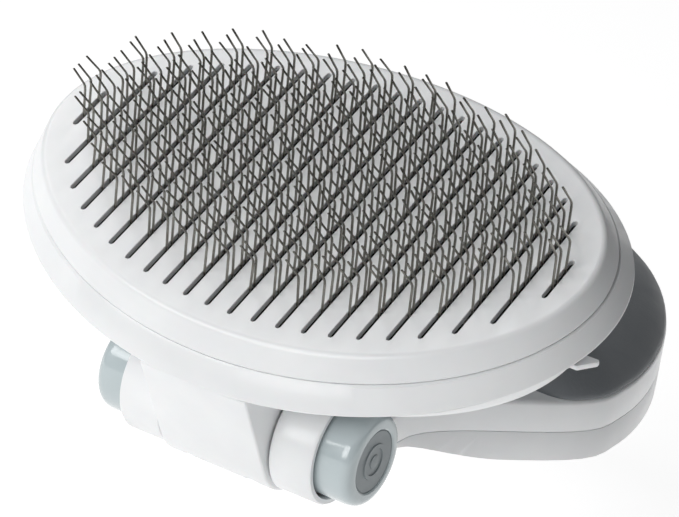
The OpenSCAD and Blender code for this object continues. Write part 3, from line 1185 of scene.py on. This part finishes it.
@dataclass
class Handle:
    """Two palm-shaped shells, soft grip inlay, and the fork that holds the barrel."""

    start: float = 13
    length: float = 115.3
    neck_half: float = 18.2
    palm_half: float = 39.5
    flare: Point2 = (20, 52)
    tip: float = 58
    power: float = 1.69
    parting: float = 5.2
    top: float = 10.9
    grip_top: float = 15.6
    grip_start: float = 42
    corner: float = 6
    ramp: Section = (14, 36, 4.6)
    near: float = 0.03

    def half_width(self, s: float) -> float:
        """Half width of the handle at a distance from the hinge.

        Args:
            s: Distance from the hinge axis.

        Returns:
            The half width.
        """
        q = min(1.0, max(0.0, (s - self.flare[0]) / (self.flare[1] - self.flare[0])))
        palm = self.neck_half + (self.palm_half - self.neck_half) * q * q * (3 - 2 * q)
        end = min(1.0, max(0.0, (s - self.length + self.tip) / self.tip))
        return palm * max(0.0, 1 - end**self.power) ** (1 / self.power)

    def outline(self, start: float, count: int = 56) -> list[Point2]:
        """Outline of the handle from a distance to the tip.

        Args:
            start: Distance from the hinge at which it starts.
            count: Number of stations.

        Returns:
            Its corners, anticlockwise.
        """
        stations = [start + (self.length - start) * math.sin(math.pi / 2 * t) for t in along(0, 1, count)]
        side = [(self.half_width(s), s) for s in stations]
        return side + [(-x, y) for x, y in side[-2::-1]]

    def underside(self, s: float) -> float:
        """Height of the underside at a distance from the hinge; it rises towards the barrel."""
        q = min(1.0, max(0.0, (s - self.ramp[0]) / (self.ramp[1] - self.ramp[0])))
        return self.ramp[2] * (1 - q * q * (3 - 2 * q))

    def core(self, depth: float) -> list[Point2]:
        """The palm's outline drawn in by a depth.

        Args:
            depth: Distance by which every edge moves in.

        Returns:
            Corners of a convex outline, anticlockwise.
        """
        edge = hull(self.outline(self.grip_start))
        kept = list(edge)
        for a, b in zip(edge, edge[1:] + edge[:1]):
            length = math.hypot(b[0] - a[0], b[1] - a[1])
            normal = (-(b[1] - a[1]) / length, (b[0] - a[0]) / length)
            within = [(p[0] - a[0]) * normal[0] + (p[1] - a[1]) * normal[1] - depth for p in kept]
            clipped = []
            for i, point in enumerate(kept):
                here, there, after = within[i], within[(i + 1) % len(kept)], kept[(i + 1) % len(kept)]
                if here >= 0:
                    clipped.append(point)
                if here * there < 0:
                    t = here / (here - there)
                    clipped.append(tuple(p + (q - p) * t for p, q in zip(point, after)))
            kept = clipped
        return kept

    def build_shells(self) -> None:
        """Models the two shells, with the parting line between them."""
        lower = Bench.prism("handle_lower_shell", self.outline(self.start), 0, self.parting - self.near)
        profile = [(s, self.underside(s)) for s in along(self.start - 1, self.ramp[1], 24)]
        relief = Bench.prism("relief", [*profile, (self.ramp[1], -1), (self.start - 1, -1)][::-1], -50, 50)
        relief.data.transform(UPRIGHT_TO_X)
        Bench.face_out(relief)
        Bench.combine(lower, relief)

        def keel(a: Vector, b: Vector) -> bool:
            """True for an edge along the rim of the underside."""
            low = all(abs(p.z - self.underside(p.y)) < self.near for p in (a, b))
            return low and all(abs(abs(p.x) - self.half_width(p.y)) < self.near for p in (a, b))

        Bench.soften(lower, keel, 0.9, 4)
        Bench.soften(lower, lambda a, b: min(a.z, b.z) > self.parting - 0.04, 0.1, 2)
        Bench.settle(lower, Place.HANDLE, Body.HANDLE, Finish.SHELL, "handle_lower_shell")
        low = self.parting + self.near
        upper = Bench.prism("handle_upper_shell", self.outline(self.start), low, self.top)
        Bench.soften(upper, lambda a, b: max(a.z, b.z) < self.parting + 0.04, 0.1, 2)
        Bench.soften(upper, lambda a, b: min(a.z, b.z) > self.top - 0.01, 0.9, 5)
        Bench.settle(upper, Place.HANDLE, Body.HANDLE, Finish.SHELL, "handle_upper_shell")

    def build_grip(self) -> None:
        """Models the soft inlay: rounded edge, raised ridge and dished middle."""
        profile = [(0.3, self.top), (0.3, self.top + 0.3), (0.7, self.top + 0.9), (1.8, self.top + 1.9),
                   (3.3, self.top + 2.9), (5.5, self.top + 3.8), (7.2, self.top + 4.5), (8, self.grip_top),
                   (8.5, self.grip_top), (9.2, self.grip_top - 0.5), (10.2, self.grip_top - 0.8),
                   (12, self.grip_top - 0.9)]
        profile = [(inset, z + 0.001 * order) for order, (inset, z) in enumerate(profile)]
        inlay = Bench.stack("grip_inlay", [(1, 1, z) for _, z in profile], 160)
        for inset, z in profile:
            core = self.core(self.corner + inset)
            for vertex in inlay.data.vertices:
                if abs(vertex.co.z - z) < 4e-4:
                    turn = math.atan2(vertex.co.y, vertex.co.x)
                    facing = (math.cos(turn), math.sin(turn))
                    support = max(core, key=lambda p: p[0] * facing[0] + p[1] * facing[1])
                    vertex.co.x = support[0] + self.corner * facing[0]
                    vertex.co.y = support[1] + self.corner * facing[1]
        Bench.settle(inlay, Place.HANDLE, Body.HANDLE, Finish.GRIP, "grip_inlay", smooth=50)

    def build_yoke(self) -> None:
        """Models the fork: two bored rings on arms that run into the handle."""
        parts = []
        for side in (1, -1):
            ring = Bench.turned("ring", [(8.9, 10.3), (9.4, 10.7), (9.4, 17.8), (9.15, 18.2)], 96)
            rise = sorted((-side * (4.6 - AXIS_Z), -side * (self.top - 0.1 - AXIS_Z)))
            arm = Bench.block("arm", (rise[0], 0, 10.5), (rise[1], self.start + 1, 18.1))
            Bench.combine(ring, arm, "UNION")
            Bench.combine(ring, Bench.turned("bore", [(8.3, 13.2), (8.3, 18), (8.5, 18.3), (8.5, 19)], 96))
            Bench.combine(ring, Bench.turned("hole", [(4.08, 9), (4.08, 14)], 64))
            ring.data.transform(shift(0, 0, AXIS_Z) @ turn_about("Y", 90 * side))
            parts.append(ring)
        bar = Bench.block("bar", (-15.8, self.start + 0.5, 5.6), (15.8, 25, 9))
        yoke = Bench.join([*parts, bar], "handle_yoke")
        Bench.settle(yoke, Place.HANDLE, Body.HANDLE, Finish.SHELL, "handle_yoke")

    def build(self) -> None:
        """Models the whole handle."""
        self.build_shells()
        self.build_grip()
        self.build_yoke()


@dataclass(frozen=True)
class SoftLight:
    """One studio softbox, aimed at the brush."""

    name: str
    at: Section
    size: Point2
    watts: float
    colour: Section = (1, 1, 1)

    def build(self, aim: Vector) -> None:
        """Hangs the softbox.

        Args:
            aim: Point that it faces.
        """
        lamp = bpy.data.lights.new(self.name, "AREA")
        lamp.shape = "RECTANGLE"
        lamp.size, lamp.size_y = self.size
        lamp.energy = self.watts
        lamp.color = self.colour
        holder = bpy.data.objects.new(self.name, lamp)
        holder.location = self.at
        holder.rotation_euler = (aim - Vector(self.at)).to_track_quat("-Z", "Y").to_euler()
        bpy.context.scene.collection.objects.link(holder)


@dataclass
class Studio:
    """Camera, softboxes and paper sweep."""

    eye: Section = (0.24525, -0.47307, 0.24070)
    right: Section = (0.83807, 0.52726, 0.14014)
    up: Section = (-0.31509, 0.25808, 0.91330)
    lens: float = 180.265
    floor_z: float = -0.03
    lights: tuple[SoftLight, ...] = (
        SoftLight("key_box", (-0.60, -0.80, 0.75), (0.5, 0.5), 4.2),
        SoftLight("top_box", (-0.24, 0.00, 0.38), (0.25, 0.25), 0.72),
        SoftLight("front_box", (-0.12, -1.15, 0.55), (0.6, 0.6), 6.0),
    )

    def build_camera(self) -> None:
        """Sets the camera up from its right and up directions."""
        lens = bpy.data.cameras.new("studio_camera")
        lens.sensor_width = 36
        lens.lens = self.lens
        lens.clip_start, lens.clip_end = 0.01, 20
        camera = bpy.data.objects.new("studio_camera", lens)
        right = Vector(self.right).normalized()
        back = right.cross(Vector(self.up)).normalized()
        up = back.cross(right)
        camera.matrix_world = Matrix.Translation(self.eye) @ Matrix((right, up, back)).transposed().to_4x4()
        bpy.context.scene.collection.objects.link(camera)
        bpy.context.scene.camera = camera

    def build_floor(self) -> None:
        """Lays the sweep, low enough for the pins of the unfolded brush."""
        Bench.clear()
        bpy.ops.mesh.primitive_plane_add(size=6, location=(0, 0, self.floor_z))
        floor = bpy.context.object
        floor.name = "paper_sweep"
        floor.data.materials.append(StudioFloor().build())

    def build(self) -> None:
        """Sets up camera, floor, lights and surroundings."""
        self.build_camera()
        self.build_floor()
        for light in self.lights:
            light.build(Vector((0, 0, 0.03)))
        world = bpy.data.worlds.new("studio_air")
        world.use_nodes = True
        world.node_tree.nodes["Background"].inputs["Color"].default_value = (0.9, 0.93, 0.96, 1)
        world.node_tree.nodes["Background"].inputs["Strength"].default_value = 0.08
        bpy.context.scene.world = world
        bpy.context.scene.view_settings.view_transform = "Standard"


def main() -> None:
    """Builds the brush and its studio."""
    logging.basicConfig(level=logging.INFO, format="%(name)s: %(message)s")
    Studio().build()
    shell = HeadShell()
    shell.build_face()
    shell.build_rim()
    shell.build_cover()
    bed = PinBed(shell)
    bed.build_carrier()
    bed.build_pins()
    bed.build_pad()
    Fasteners().build()
    Latch().build()
    Hinge().build()
    Handle().build()
    Bench.clear()


if __name__ == "__main__":
    main()
